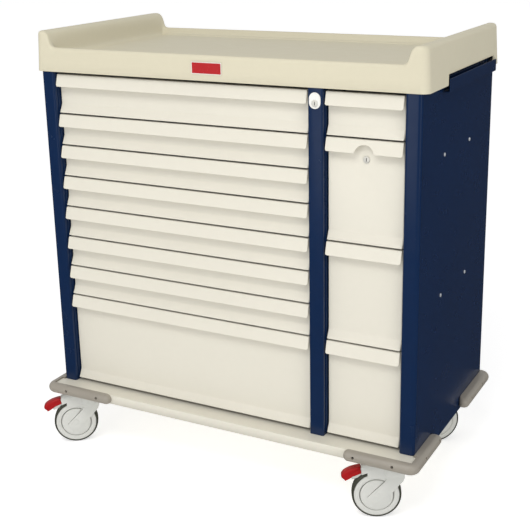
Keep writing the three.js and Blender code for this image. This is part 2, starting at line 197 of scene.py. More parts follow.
def srgb(r, g, b):
    return tuple(((c / 255) / 12.92 if c <= 10 else (((c / 255) + 0.055) / 1.055) ** 2.4) for c in (r, g, b))


# navy and cream carry a painted edge highlight, a lighter colour along their edges
MAT = {
    "navy_powder_coat": material("navy_powder_coat", srgb(15.5, 38.6, 73.5), 0.24, spec=0.27, coat=0.0, coat_rough=0.16,
                                 vary=0.05, vary_scale=3.0, bump=0.55, bump_scale=420, bump_depth=0.00012, speck=0.02,
                                 speck_scale=1500, painted_edge_highlight=0.35, painted_edge_highlight_color=srgb(58, 78, 120)),
    "cream_enamel": material("cream_enamel", srgb(230.0, 225.6, 211.5), 0.36, spec=0.42, vary=0.012, vary_scale=2.5,
                             bump=0.5, bump_scale=520, bump_depth=0.0001, painted_edge_highlight=0.25, painted_edge_highlight_color=srgb(250, 248, 240)),
    "tray_plastic": material("tray_plastic", srgb(218.2, 211.4, 187.0), 0.48, spec=0.40, vary=0.015, vary_scale=3.0,
                             bump=0.8, bump_scale=900, bump_depth=0.00018, bump_kind="voronoi"),
    "bumper_rubber": material("bumper_rubber", srgb(158.9, 151.9, 140.5), 0.34, spec=0.5, vary=0.03, vary_scale=9.0,
                              bump=0.6, bump_scale=700, bump_depth=0.0001, dust=0.05),
    "white_plastic": material("white_plastic", srgb(244, 243, 238), 0.28, spec=0.5, vary=0.01, vary_scale=30,
                              bump=0.3, bump_scale=1500, bump_depth=0.00005),
    "lock_chrome": material("lock_chrome", srgb(226, 224, 216), 0.30, metallic=0.35, vary=0.04, vary_scale=160,
                            bump=0.4, bump_scale=2500, bump_depth=0.00005),
    "plate_red": material("plate_red", srgb(186, 38, 42), 0.24, spec=0.5, coat=0.5, coat_rough=0.08, vary=0.03,
                          vary_scale=40),
    "caster_grey": material("caster_grey", srgb(215.9, 216.4, 210.8), 0.42, spec=0.42, vary=0.02, vary_scale=22,
                            bump=0.7, bump_scale=1400, bump_depth=0.00012, bump_kind="voronoi"),
    "caster_tyre": material("caster_tyre", srgb(58, 60, 48), 0.62, spec=0.35, vary=0.10, vary_scale=30,
                            bump=0.7, bump_scale=1100, bump_depth=0.00014, dust=0.12),
    "pedal_red": material("pedal_red", srgb(172, 14, 19), 0.34, spec=0.3, vary=0.05, vary_scale=60,
                          bump=0.6, bump_scale=1500, bump_depth=0.0001),
    "zinc_steel": material("zinc_steel", srgb(196, 198, 199), 0.38, metallic=0.45, vary=0.08, vary_scale=35,
                           rough_vary=0.12, bump=0.4, bump_scale=260, bump_depth=0.00006),
    # this near-black material is painted shade for the inside of the key slots
    "keyway_painted_shade": material("keyway_painted_shade", srgb(24, 24, 24), 0.7, spec=0.2, vary=0.1, vary_scale=100,
                            bump=0.3, bump_scale=900, bump_depth=0.0001),
    "screw_steel": material("screw_steel", srgb(222, 225, 228), 0.26, metallic=0.4, vary=0.05, vary_scale=400,
                            bump=0.3, bump_scale=3000, bump_depth=0.00004),
    "screw_black": material("screw_black", srgb(34, 34, 36), 0.4, metallic=0.6, vary=0.08, vary_scale=400,
                            bump=0.3, bump_scale=3000, bump_depth=0.00004),
}


# ------------------------------------------------------------------ mesh tools
def obj(name, verts, faces, mat, body=None, smooth=35, replaces=(), matrix=None, world=True, slot=None):
    """verts in design millimetres (or local millimetres when world is False)."""
    me = bpy.data.meshes.new(name)
    if world:
        me.from_pydata([F(*v) for v in verts], [], faces)
    else:
        me.from_pydata([Vector(v) / 1000 for v in verts], [], faces)
    me.materials.append(MAT[mat])
    bm = bmesh.new()
    bm.from_mesh(me)
    bmesh.ops.remove_doubles(bm, verts=bm.verts, dist=1e-7)
    bmesh.ops.recalc_face_normals(bm, faces=bm.faces)
    bm.to_mesh(me)
    bm.free()
    me.shade_smooth()
    me.set_sharp_from_angle(angle=smooth * D2R)
    o = bpy.data.objects.new(name, me)
    bpy.context.scene.collection.objects.link(o)
    if matrix is not None:
        o.matrix_world = matrix
    if body:
        place(o, body, replaces)
    return o


def place(o, body, replaces=()):
    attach(o, body)
    if replaces:
        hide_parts(*replaces)
    return o


def bevel(o, width, seg=3, angle=30, harden=True, profile=0.5):
    m = o.modifiers.new("bevel", "BEVEL")
    m.width = width / 1000
    m.segments = seg
    m.limit_method = "ANGLE"
    m.angle_limit = angle * D2R
    m.harden_normals = harden
    m.profile = profile
    m.miter_outer = "MITER_ARC"
    return o


def solidify(o, t, offset=-1):
    m = o.modifiers.new("sheet", "SOLIDIFY")
    m.thickness = t / 1000
    m.offset = offset
    m.use_even_offset = True
    return o


def apply_all(o):
    bpy.context.view_layer.update()
    dg = bpy.context.evaluated_depsgraph_get()
    me = bpy.data.meshes.new_from_object(o.evaluated_get(dg), depsgraph=dg)
    o.modifiers.clear()
    o.data = me
    return o


def cutter(o, cut, op="DIFFERENCE"):
    """Boolean with another object, applied at once; the other object is removed."""
    m = o.modifiers.new("cut", "BOOLEAN")
    m.object = cut
    m.operation = op
    m.solver = "EXACT"
    apply_all(o)
    bpy.data.objects.remove(cut)
    return o


def prism(outline, a, b, axis):
    """Closed prism of a 2-D outline. axis x: outline is (y, z); y: (x, z); z: (x, y)."""
    n = len(outline)

    def p(q, h):
        return {"x": (h, q[0], q[1]), "y": (q[0], h, q[1]), "z": (q[0], q[1], h)}[axis]

    verts = [p(q, a) for q in outline] + [p(q, b) for q in outline]
    faces = [list(range(n))[::-1], list(range(n, 2 * n))]
    faces += [[i, (i + 1) % n, n + (i + 1) % n, n + i] for i in range(n)]
    return verts, faces


def arc(cx, cy, r, a0, a1, n):
    return [(cx + r * math.cos((a0 + (a1 - a0) * i / n) * D2R), cy + r * math.sin((a0 + (a1 - a0) * i / n) * D2R))
            for i in range(n + 1)]


def fillet(points, closed=True, seg=5):
    """points are (x, y, radius); returns the polyline with rounded corners."""
    out = []
    n = len(points)
    for i, p in enumerate(points):
        r = p[2] if len(p) > 2 else 0
        if r <= 0 or (not closed and i in (0, n - 1)):
            out.append((p[0], p[1]))
            continue
        a, c = points[i - 1], points[(i + 1) % n]
        v1 = Vector((a[0] - p[0], a[1] - p[1]))
        v2 = Vector((c[0] - p[0], c[1] - p[1]))
        l1, l2 = v1.length, v2.length
        v1.normalize()
        v2.normalize()
        ang = v1.angle(v2)
        if ang > math.pi - 1e-3:
            out.append((p[0], p[1]))
            continue
        d = min(r / math.tan(ang / 2), l1 * 0.499, l2 * 0.499)
        rr = d * math.tan(ang / 2)
        bis = (v1 + v2).normalized()
        cen = Vector((p[0], p[1])) + bis * (rr / math.sin(ang / 2))
        s = Vector((p[0], p[1])) + v1 * d - cen
        e = Vector((p[0], p[1])) + v2 * d - cen
        a0 = math.atan2(s.y, s.x)
        a1 = math.atan2(e.y, e.x)
        da = (a1 - a0 + math.pi) % (2 * math.pi) - math.pi
        for k in range(seg + 1):
            t = a0 + da * k / seg
            out.append((cen.x + rr * math.cos(t), cen.y + rr * math.sin(t)))
    return out


def grid(rows, closed_cols=False, flip=False):
    """rows is a list of equal-length point lists; quads between them."""
    nc = len(rows[0])
    verts = [p for r in rows for p in r]
    faces = []
    for i in range(len(rows) - 1):
        for j in range(nc if closed_cols else nc - 1):
            k = (j + 1) % nc
            f = [i * nc + j, i * nc + k, (i + 1) * nc + k, (i + 1) * nc + j]
            faces.append(f[::-1] if flip else f)
    return verts, faces


def lathe(profile, seg, axis="z", closed=True):
    """profile is (r, h) pairs, a closed loop when closed, else ends on the axis or stays open."""
    rows = []
    for i in range(seg):
        a = 2 * math.pi * i / seg
        c, s = math.cos(a), math.sin(a)
        if axis == "z":
            rows.append([(r * c, r * s, h) for r, h in profile])
        else:
            rows.append([(r * c, h, r * s) for r, h in profile])
    nc = len(profile)
    verts = [p for r in rows for p in r]
    faces = []
    for i in range(seg):
        j = (i + 1) % seg
        for k in range(nc if closed else nc - 1):
            m = (k + 1) % nc
            faces.append([i * nc + k, i * nc + m, j * nc + m, j * nc + k])
    return verts, faces


def shift(verts, dx=0, dy=0, dz=0):
    return [(x + dx, y + dy, z + dz) for x, y, z in verts]


def join(*parts):
    V, Fa = [], []
    for v, f in parts:
        k = len(V)
        V += list(v)
        Fa += [[i + k for i in q] for q in f]
    return V, Fa


# ------------------------------------------------------------------ dimensions
CAB_HALF_W, CAB_DEPTH, CAB_TOP, SIDE_BOTTOM = 530.5, 551.4, 1110, 153
BASE_TOP, BASE_BOTTOM, BASE_FRONT, FLANGE_HALF_W = 186.3, 160.5, -38, 538
UNIT, Z_FIRST, Z_LAST, HG = 85.3, 193.5, 1070.4, 1.9


def gz(n):
    return Z_FIRST + n * UNIT


LEFT_X, RIGHT_X = (-485.5, 246.3), (294.2, 486.4)
LEFT_LOW = [gz(9), gz(8), gz(7), gz(6), gz(5), gz(4), gz(3), gz(0)]
RIGHT_LOW = [gz(9), gz(6), gz(3), gz(0)]
SHEET = 1.5


# ------------------------------------------------------------------ cabinet
def side_panel(s, name):
    """Side panel, rounded outer post corner, post face, rounded inner corner and return, one sheet."""
    R, RI = 9, 7
    x, xi = CAB_HALF_W, CAB_HALF_W - 40
    path = [(x, CAB_DEPTH), (x, R + 0.01)]
    path += arc(x - R, R, R, 0, -90, 12)[1:]
    path += arc(xi + RI, RI, RI, -90, -180, 10)
    path += [(xi, 26)]
    flat = 2
    zs = [SIDE_BOTTOM, BASE_TOP + 0.3, CAB_TOP]
    cols = len(path)
    verts = [(s * p[0], p[1], z) for z in zs for p in path]
    faces = []
    for i in range(2):
        for j in range(cols - 1):
            if i == 0 and j >= flat - 1:
                continue
            faces.append([i * cols + j, i * cols + j + 1, (i + 1) * cols + j + 1, (i + 1) * cols + j])
    used = sorted({i for f in faces for i in f})
    remap = {v: k for k, v in enumerate(used)}
    me_v = [verts[i] for i in used]
    me_f = [[remap[i] for i in f] for f in faces]
    # outward means away from the cabinet's inside
    o = obj(name, me_v, me_f, "navy_powder_coat", smooth=30)
    bm = bmesh.new()
    bm.from_mesh(o.data)
    bm.faces.ensure_lookup_table()
    big = max(bm.faces, key=lambda f: f.calc_area())
    if big.normal.x * s < 0:
        bmesh.ops.reverse_faces(bm, faces=bm.faces)
    bm.to_mesh(o.data)
    bm.free()
    solidify(o, SHEET)
    bevel(o, 0.45, 2, 50)
    place(o, "cabinet", [name])
    return o


side_panel(-1, "left_side_panel").name = "left_side_sheet"
side_panel(1, "right_side_panel").name = "right_side_sheet"

for n in ("back_panel",):
    NODES[n].data.materials.clear()
    NODES[n].data.materials.append(MAT["navy_powder_coat"])
    w = NODES[n].modifiers.new("weld", "WELD")
    w.merge_threshold = 0.00002
    bevel(NODES[n], 0.5, 2)


def center_post():
    R = 4.0
    x0, x1, y1 = 250.5, 289.0, CAB_DEPTH - SHEET - 0.3
    path = [(x0, y1)] + arc(x0 + R, R, R, 180, 270, 8) + arc(x1 - R, R, R, 270, 360, 8) + [(x1, y1)]
    rows = [[(p[0], p[1], z) for p in path] for z in (BASE_TOP + 0.3, 700, CAB_TOP)]
    v, f = grid(rows)
    o = obj("center_post_channel", v, f, "navy_powder_coat", smooth=30)
    bm = bmesh.new()
    bm.from_mesh(o.data)
    front = max(bm.faces, key=lambda q: -q.calc_center_median().y * (abs(q.normal.y) > 0.9))
    if front.normal.y > 0:
        bmesh.ops.reverse_faces(bm, faces=bm.faces)
    bm.to_mesh(o.data)
    bm.free()
    solidify(o, SHEET)
    apply_all(o)
    v, f = prism(arc(269.6, 1036.5, 8.7, 0, 350, 35), -3, 8, "y")
    cutter(o, obj("tmp_cut", v, f, "navy_powder_coat"))
    o.data.shade_smooth()
    o.data.set_sharp_from_angle(angle=30 * D2R)
    place(o, "cabinet", ["center_divider"])


center_post()


# Base pan: top sheet with a front flange, rounded edges, open underneath.
def base():
    hw, fw = CAB_HALF_W - SHEET - 0.3, FLANGE_HALF_W
    out = [(-fw, BASE_FRONT), (fw, BASE_FRONT), (fw, -1), (hw, -1), (hw, CAB_DEPTH), (-hw, CAB_DEPTH), (-hw, -1), (-fw, -1)]
    n = len(out)
    v = [(x, y, BASE_TOP) for x, y in out] + [(x, y, BASE_BOTTOM) for x, y in out]
    f = [list(range(n))] + [[i, n + i, n + (i + 1) % n, (i + 1) % n] for i in range(n)]
    o = obj("base_pan", v, f, "cream_enamel")
    bm = bmesh.new()
    bm.from_mesh(o.data)
    top = max(bm.faces, key=lambda q: q.calc_area())
    if top.normal.z < 0:
        bmesh.ops.reverse_faces(bm, faces=bm.faces)
    bm.to_mesh(o.data)
    bm.free()
    bevel(o, 2.6, 5, 40)
    solidify(o, SHEET)
    place(o, "cabinet", ["base_frame"])
    for sx in (-1, 1):
        for k, y in enumerate((21, 476)):
            y0, y1 = (BASE_FRONT + 2, 76) if k == 0 else (421, CAB_DEPTH - 2)
            x0, x1 = sorted((sx * 412.5, sx * (hw - 2)))
            v, f = prism(fillet([(x0, y0, 6), (x1, y0, 6), (x1, y1, 6), (x0, y1, 6)]), BASE_BOTTOM, BASE_BOTTOM + 5, "z")
            p = obj("caster_plate_%s_%s" % ("l" if sx < 0 else "r", "f" if k == 0 else "r"), v, f, "zinc_steel")
            bevel(p, 0.6, 2)
            place(p, "cabinet")
            for bx in (-38, 38):
                for by in (-38, 38):
                    cx, cy = sx * 467.5 + bx, y + by
                    if not (x0 + 8 < cx < x1 - 8 and y0 + 8 < cy < y1 - 8):
                        continue
                    v, f = prism(arc(cx, cy, 6.2, 0, 300, 5), BASE_BOTTOM + 5, BASE_BOTTOM + 9.5, "z")
                    q = obj("plate_nut_%d_%d" % (cx, cy), v, f, "screw_steel")
                    bevel(q, 0.7, 2)
                    place(q, "cabinet")


base()


# ------------------------------------------------------------------ top tray
def tray():
    Z0, FLOOR, LIP, RIDGE = 1073.3, 1117.0, 1136.0, 1178.3
    YF, YR = -4.0, 556.5           # outline at the bottom
    HW0, HW1 = 546.0, 539.0        # half width at the bottom and near the top
    N0, N1, NT = 134.0, 501.0, 1099.4

    def sm(t):
        t = max(0.0, min(1.0, t))
        return t * t * (3 - 2 * t)

    def smax(a, b, k):
        h = max(0.0, min(1.0, 0.5 + 0.5 * (a - b) / k))
        return b * (1 - h) + a * h + k * h * (1 - h)

    # inner side of the ridge as |x| -> height above the lip plane
    prof = [(455, 1117), (486, 1117.0), (490.5, 1121), (493.5, 1128), (496, 1140), (498.2, 1152), (500.6, 1163), (504.2, 1170.6),
            (509.5, 1175.4), (516, 1177.9), (522, 1178.3), (560, 1178.3)]
    lipp = [(0, 1136), (6, 1136.0), (11, 1135.4), (15.5, 1132.6), (19.5, 1127.2), (24, 1121.4), (30, 1118.0), (37, 1117), (400, 1117)]

    def interp(tab, q):
        for (a, za), (b, zb) in zip(tab, tab[1:]):
            if q <= b:
                if q <= a:
                    return za
                return za + (zb - za) * (q - a) / (b - a)
        return tab[-1][1]

    lipr = [(455, 1136), (481, 1136.0), (486.2, 1136.9), (490.4, 1139.2), (493.6, 1142.8), (496.0, 1147.6), (497.9, 1153.6), (500.5, 1162.6),
            (504.2, 1170.4), (509.5, 1175.4), (516, 1177.9), (522, 1178.3), (560, 1178.3)]

    def h(x, y):
        d = min(y - YF, YR - y)
        w = 1 - sm((d - 13) / 14)
        r = w * interp(lipr, abs(x)) + (1 - w) * interp(prof, abs(x))
        f = interp(lipp, d)
        z = max(r, f)
        k = 6.0
        if abs(r - f) < k and w < 0.98:
            z = smax(r, f, k)
        if f <= FLOOR + 0.01 and r <= FLOOR + 0.01:
            return FLOOR
        return z

    # Perimeter samples. Every loop has the same number of points, and the ones at the
    # cut-outs keep their place; those near a corner move with the loop's own corner.
    FX = [0, 60, 140, 230, 320, 390, 430, 446, 456, 463, 469, 474, 478, 481, 484, 487, 490, 492.5, 495, 497.5, 500, 502.5, 505, 508, 511, 514, 517]
    SY = [24, 34, 50, 75, 105, 128, 133.7, 134.3, 150, 190, 240, 300, 360, 420, 470, 500.7, 501.3, 506, 515, 525]
    C = 12

    def ring(hw, y0, y1, r, z):
        top, lo, hi = hw - r, y0 + r, y1 - r
        fx = [x if x <= 430 else 430 + (x - 430) * (top - 430) / (520 - 430) for x in FX] + [top]
        sy = []
        for y in SY:
            if y < 128:
                y = lo + (y - 16) * (128 - lo) / (128 - 16)
            elif y > 502:
                y = 502 + (y - 502) * (hi - 502) / (536 - 502)
            sy.append(y)
        q = [(x, y0) for x in fx] + arc(hw - r, y0 + r, r, -90, 0, C)[1:] + [(hw, y) for y in sy]
        q += arc(hw - r, y1 - r, r, 0, 90, C) + [(x, y1) for x in fx[::-1]][1:]
        q += [(-x, y) for x, y in q[::-1]][1:-1]
        return [(x, y, z(x, y)) for x, y in q]

    def zbot(x, y):
        if abs(x) > 536 and N0 < y < N1:
            return NT
        return Z0

    def ring2(inset_x, inset_yf, inset_yr, r, z):
        return ring(HW0 - inset_x, YF + inset_yf, YR - inset_yr, r, z)

    loops = []
    # inner underside: from the centre outwards and down the inner skirt, then the outer skirt up
    T = 3.4
    loops.append(ring2(T + 6.5, T + 5, T + 5, 15, lambda x, y: 1112.5))
    loops.append(ring2(T + 2.6, T + 2.6, T + 2.6, 17, lambda x, y: 1109.0))
    loops.append(ring2(T + 0.6, T + 0.6, T + 0.6, 17.5, lambda x, y: 1100.5))
    loops.append(ring2(T, T, T, 18, lambda x, y: zbot(x, y) + 0.5))
    loops.append(ring2(T - 0.6, T - 0.6, T - 0.6, 18.5, zbot))
    loops.append(ring2(0.7, 0.7, 0.7, 20, zbot))
    loops.append(ring2(0.0, 0.0, 0.0, 20.5, lambda x, y: zbot(x, y) + 0.9))
    # outer wall with draft up to the rim; all columns meet at one height above the cut-outs
    ZC = 1100.8

    def draft(z):
        t = (z - Z0) / 95.0
        return 5.6 * t, 2.8 * t, 4.6 * t
    loops.append(ring2(*draft(ZC), 20.5, lambda x, y: ZC))
    for t in (0.3, 0.6, 0.85, 1.0):
        zt = ZC + t * (1168.8 - ZC)

        def zz(x, y, t=t):
            return ZC + (h(x, y) - 9.5 - ZC) * t
        loops.append(ring2(draft(zt)[0], draft(ZC + t * 27)[1], draft(ZC + t * 27)[2], 20.5, zz))
    # rim rounding: R about 10 on the outside
    RR = 9.5
    dx, dyf, dyr = draft(1168.8)[0], draft(ZC + 27)[1], draft(ZC + 27)[2]
    for a in (15, 30, 45, 60, 75, 90):
        ca, sa = math.cos(a * D2R), math.sin(a * D2R)
        ins = RR * (1 - ca)

        def zr(x, y, sa=sa, ins=ins):
            return h(x, y) - RR * (1 - sa)
        loops.append(ring2(dx + ins * 1.15, dyf + ins * 0.62, dyr + ins * 0.62, 20.5 - ins * 0.9, zr))
    # over the top and down to the floor
    top = [(22, 10.5, 10), (25, 13, 9.5), (29, 15.5, 9), (32.5, 18, 8.5), (35.5, 20, 8), (38, 22, 8), (40.5, 24, 8), (42.8, 26, 8),
           (44.8, 28, 8), (46.6, 30, 8), (48.2, 32, 8), (49.8, 34, 8), (51.4, 35.5, 8), (53.2, 37, 8), (55.5, 38.5, 8), (58.5, 40, 8), (64, 43, 8)]
    for ix, iy, r in top:
        loops.append(ring2(ix, iy, iy, r, h))
    n = len(loops[0])
    assert all(len(l) == n for l in loops), [len(l) for l in loops]
    verts = [p for l in loops for p in l]
    faces = []
    for i in range(len(loops) - 1):
        for j in range(n):
            k = (j + 1) % n
            faces.append([i * n + j, i * n + k, (i + 1) * n + k, (i + 1) * n + j])
    faces.append(list(range(n))[::-1])
    faces.append([(len(loops) - 1) * n + j for j in range(n)])
    o = obj("top_tray_shell", verts, faces, "tray_plastic", smooth=40)
    place(o, "cabinet", ["top_tray"])


tray()


# Rails: upward-open channels of folded sheet, the tray's rear tab standing inside them.
def rail(s_, name):
    Z0, Z1, a, b = 1057.3, 1088.9, CAB_HALF_W + 0.3, 548.5
    path = fillet([(b, Z1), (b, Z0, 3.0), (a, Z0, 3.0), (a, Z1)], closed=False, seg=6)
    rows = [[(s_ * x, y, z) for x, z in path] for y in (138, 200, 300, 400, 518)]
    v, f = grid(rows)
    o = obj(name + "_channel", v, f, "navy_powder_coat", smooth=30)
    bm = bmesh.new()
    bm.from_mesh(o.data)
    out = max(bm.faces, key=lambda q: q.calc_center_median().x * s_ + q.calc_area() * 0)
    if out.normal.x * s_ < 0:
        bmesh.ops.reverse_faces(bm, faces=bm.faces)
    bm.to_mesh(o.data)
    bm.free()
    solidify(o, SHEET)
    bevel(o, 0.6, 3, 50)
    place(o, "cabinet", [name])


rail(-1, "left_accessory_rail")
rail(1, "right_accessory_rail")


# ------------------------------------------------------------------ bumpers
def bumper_mesh(sx, sy, la, lb, levels=26, csegs=14, esegs=10):
    R, ZC = 14.5, 175.0
    outX, inX, inFx = 558, CAB_HALF_W + 0.3, FLANGE_HALF_W + 0.3
    outY = -57 if sy < 0 else CAB_DEPTH + 19
    inY = BASE_FRONT - 0.3 if sy < 0 else CAB_DEPTH + 0.3
    sgn = -1 if sy < 0 else 1
    C = 26
    rows = []
    for i in range(levels + 1):
        t = -math.cos(math.pi * i / levels)
        inset = R * (1 - math.sqrt(max(0, 1 - t * t)))
        U, V, c = outX - inset, sgn * outY - inset, C - inset
        endA, endB = outX - la + inset, sgn * outY - lb + inset
        r = max(1.0, 13.5 - inset * 0.9)
        vi = sgn * inY
        pts = [(endA, vi)]
        pts += arc(endA + r, V - r, r, 180, 90, esegs)
        pts += arc(U - c, V - c, c, 90, 0, csegs)
        re = (U - inX) / 2
        pts += arc(inX + re, endB + re, re, 0, -180, esegs * 2)
        pts += [(inX, 0.7), (inFx, 0.7), (inFx, vi)] if sy < 0 else [(inX, vi), (inX - 0.01, vi), (inX - 0.02, vi)]
        rows.append([(sx * p[0], sgn * p[1], ZC + t * R) for p in pts])
    n = len(rows[0])
    v, f = grid(rows, closed_cols=True)
    f.append(list(range(n)))
    f.append([levels * n + j for j in range(n)][::-1])
    return v, f


def bumper(name, sx, sy, la, lb, screws):
    v, f = bumper_mesh(sx, sy, la, lb)
    o = obj(name + "_cover", v, f, "bumper_rubber", smooth=50)
    cuts = []
    for axis, q, z in screws:
        ring = arc(0, 0, 3.7, 0, 345, 23)
        if axis == "y":
            y = -57 if sy < 0 else CAB_DEPTH + 19
            a, b = (y - 4, y + 8) if sy < 0 else (y - 8, y + 4)
            cv, cf = prism([(q + p[0], z + p[1]) for p in ring], a, b, "y")
        else:
            x = sx * 558
            a, b = sorted((x + sx * 4, x - sx * 8))
            cv, cf = prism([(q + p[0], z + p[1]) for p in ring], a, b, "x")
        cuts.append((cv, cf))
    if cuts:
        cutter(o, obj("tmp_cut", *join(*cuts), "bumper_rubber"))
    o.data.shade_smooth()
    o.data.set_sharp_from_angle(angle=50 * D2R)
    place(o, "cabinet", [name])
    for k, (axis, q, z) in enumerate(screws):
        prof = [(0, 0), (3.1, 0), (3.3, 0.5), (3.0, 1.8), (2.2, 2.4), (1.6, 2.4), (1.5, 1.2), (0, 1.0)]
        v, f = lathe(prof, 20, "z", closed=False)
        if axis == "y":
            y = (-57 + 7.9) if sy < 0 else (CAB_DEPTH + 19 - 7.9)
            m = Matrix.Translation(F(q, y, z)) @ Matrix.Rotation((90 if sy < 0 else -90) * D2R, 4, "X")
        else:
            m = Matrix.Translation(F(sx * (558 - 7.9), q, z)) @ Matrix.Rotation(sx * 90 * D2R, 4, "Y")
        s = obj("%s_screw_%d" % (name, k), v, f, "screw_black", matrix=m, world=False)
        place(s, "cabinet")


bumper("front_left_bumper", -1, -1, 217, 222, [("y", -484.6, 177), ("y", -381.2, 177), ("x", 16.2, 179), ("x", 117.3, 179)])
bumper("front_right_bumper", 1, -1, 195, 196, [("y", 392.3, 177), ("y", 495, 177), ("x", 16.2, 179), ("x", 117.3, 179)])
bumper("rear_right_bumper", 1, 1, 222, 222, [("x", 391, 179), ("x", 488, 179), ("y", 392.3, 177), ("y", 495, 177)])
bumper("rear_left_bumper", -1, 1, 222, 222, [("x", 391, 179), ("x", 488, 179), ("y", -392.3, 177), ("y", -495, 177)])


# ------------------------------------------------------------------ drawers
LIP_H, LIP_OUT, LIP_TOP, PANEL, FLARE = 32.0, -1.0, 8.0, 19.0, 21.5


def drawer_front(name, body, x0, x1, z0, z1, moon=False):
    t = 1.6
    # upper sheet: lip plate, bend and shelf. u is across, v is up the lip.
    ly, lz = LIP_TOP - LIP_OUT, LIP_H
    L = math.hypot(ly, lz)
    dy, dz = ly / L, lz / L                      # unit vector up the lip
    Rb = 2.6                                    # outer bend radius at the top

    def P(x, v):
        return (x, LIP_OUT + dy * v, z1 - LIP_H + dz * v)

    ang = math.atan2(ly, lz)                     # lean back from vertical
    # bend from the lip direction to horizontal-back
    setback = Rb * math.tan((math.pi / 2 - ang) / 2)
    vtop = L - setback
    rc = 5.0
    outline = []
    outline += [(x0 + rc + rc * math.cos(a * D2R), rc + rc * math.sin(a * D2R)) for a in range(180, 271, 10)]
    if moon:
        cx, r, c0 = 392.0, 25.0, -4.0
        half = math.sqrt(r * r - c0 * c0)
        a0 = math.degrees(math.atan2(-c0, -half))
        a1 = math.degrees(math.atan2(-c0, half))
        outline += [(cx + r * math.cos((a0 + (a1 - a0) * k / 28) * D2R), c0 + r * math.sin((a0 + (a1 - a0) * k / 28) * D2R))
                    for k in range(29)]
    outline += [(x1 - rc + rc * math.cos(a * D2R), rc + rc * math.sin(a * D2R)) for a in range(270, 361, 10)]
    outline += [(x1, vtop), (x0, vtop)]
    verts = [P(x, v) for x, v in outline]
    faces = [list(range(len(verts)))]
    a_idx, b_idx = len(verts) - 1, len(verts) - 2    # left and right vertices at vtop
    # bend centre: perpendicular to the lip, inwards (towards +Y and down)
    c = (LIP_OUT + dy * vtop + dz * Rb, z1 - LIP_H + dz * vtop - dy * Rb)
    prev = (a_idx, b_idx)
    steps = 6
    start = math.atan2(dy, -dz)
    for k in range(1, steps + 1):
        th = start + (math.pi / 2 - start) * k / steps
        y, z = c[0] + Rb * math.cos(th), c[1] + Rb * math.sin(th)
        verts += [(x0, y, z), (x1, y, z)]
        i = len(verts) - 2
        faces.append([prev[0], prev[1], i + 1, i])
        prev = (i, i + 1)
    verts += [(x0, 21.2, z1), (x1, 21.2, z1)]
    i = len(verts) - 2
    faces.append([prev[0], prev[1], i + 1, i])
    o = obj(name + "_lip", verts, faces, "cream_enamel", smooth=30)
    bm = bmesh.new()
    bm.from_mesh(o.data)
    big = max(bm.faces, key=lambda q: q.calc_area())
    if big.normal.y > 0:
        bmesh.ops.reverse_faces(bm, faces=bm.faces)
    bm.to_mesh(o.data)
    bm.free()
    solidify(o, 2.0)
    bevel(o, 0.75, 3, 45)
    place(o, body)

    # lower sheet: panel with rounded side returns and the flared bottom band
    zt = z1 - 2.2
    Rs = 3.2
    stations = [(zt, PANEL), (z0 + FLARE + 4, PANEL), (z0 + FLARE + 1.6, PANEL - 0.15), (z0 + FLARE, PANEL - 0.7),
                (z0 + FLARE - 2.4, PANEL - 1.9)]
    slope = (PANEL - 8.0) / FLARE
    stations += [(z0 + 8, 8.0 + slope * 8), (z0, 8.0)]
    rows = []
    for z, yf in stations:
        row = [(x0, 30.0, z), (x0, 25.0, z)]
        row += [(x0 + Rs + Rs * math.cos(a * D2R), yf + Rs + Rs * math.sin(a * D2R), z) for a in (180, 195, 210, 225, 240, 255, 270)]
        row += [(x1 - Rs + Rs * math.cos(a * D2R), yf + Rs + Rs * math.sin(a * D2R), z) for a in (270, 285, 300, 315, 330, 345, 360)]
        row += [(x1, 25.0, z), (x1, 30.0, z)]
        rows.append(row)
    v, f = grid(rows)
    p = obj(name + "_panel", v, f, "cream_enamel", smooth=28)
    bm = bmesh.new()
    bm.from_mesh(p.data)
    big = max(bm.faces, key=lambda q: q.calc_area())
    if big.normal.y > 0:
        bmesh.ops.reverse_faces(bm, faces=bm.faces)
    bm.to_mesh(p.data)
    bm.free()
    solidify(p, 1.8)
    bevel(p, 0.6, 2, 50)
    if moon:
        apply_all(p)
        cv, cf = prism(arc(392, 910, 8.75, 0, 350, 35), PANEL - 4, PANEL + 6, "y")
        cutter(p, obj("tmp_cut", cv, cf, "cream_enamel"))
        p.data.shade_smooth()
        p.data.set_sharp_from_angle(angle=28 * D2R)
    place(p, body, [name + "_front"])


tops = [Z_LAST] + LEFT_LOW[:-1]
for i, low in enumerate(LEFT_LOW):
    n = "left_drawer_%d" % (i + 1)
    drawer_front(n, n, *LEFT_X, low + HG + 0.8, tops[i] - HG - (2.2 if i == 0 else 0.5))
tops = [Z_LAST] + RIGHT_LOW[:-1]
for i, low in enumerate(RIGHT_LOW):
    n = "right_drawer_%d" % (i + 1)
    drawer_front(n, n, *RIGHT_X, low + HG + 0.8, tops[i] - HG - (2.2 if i == 0 else 0.5), moon=(i == 1))

for n, o in NODES.items():
    if n.endswith("_box") or n.endswith("_slide_rack") or n == "lock_bar":
        o.data.materials.clear()
        o.data.materials.append(MAT["navy_powder_coat" if n.endswith("_rack") else "zinc_steel"])
        w = o.modifiers.new("weld", "WELD")
        w.merge_threshold = 0.00002
        bevel(o, 0.35, 2, 40)


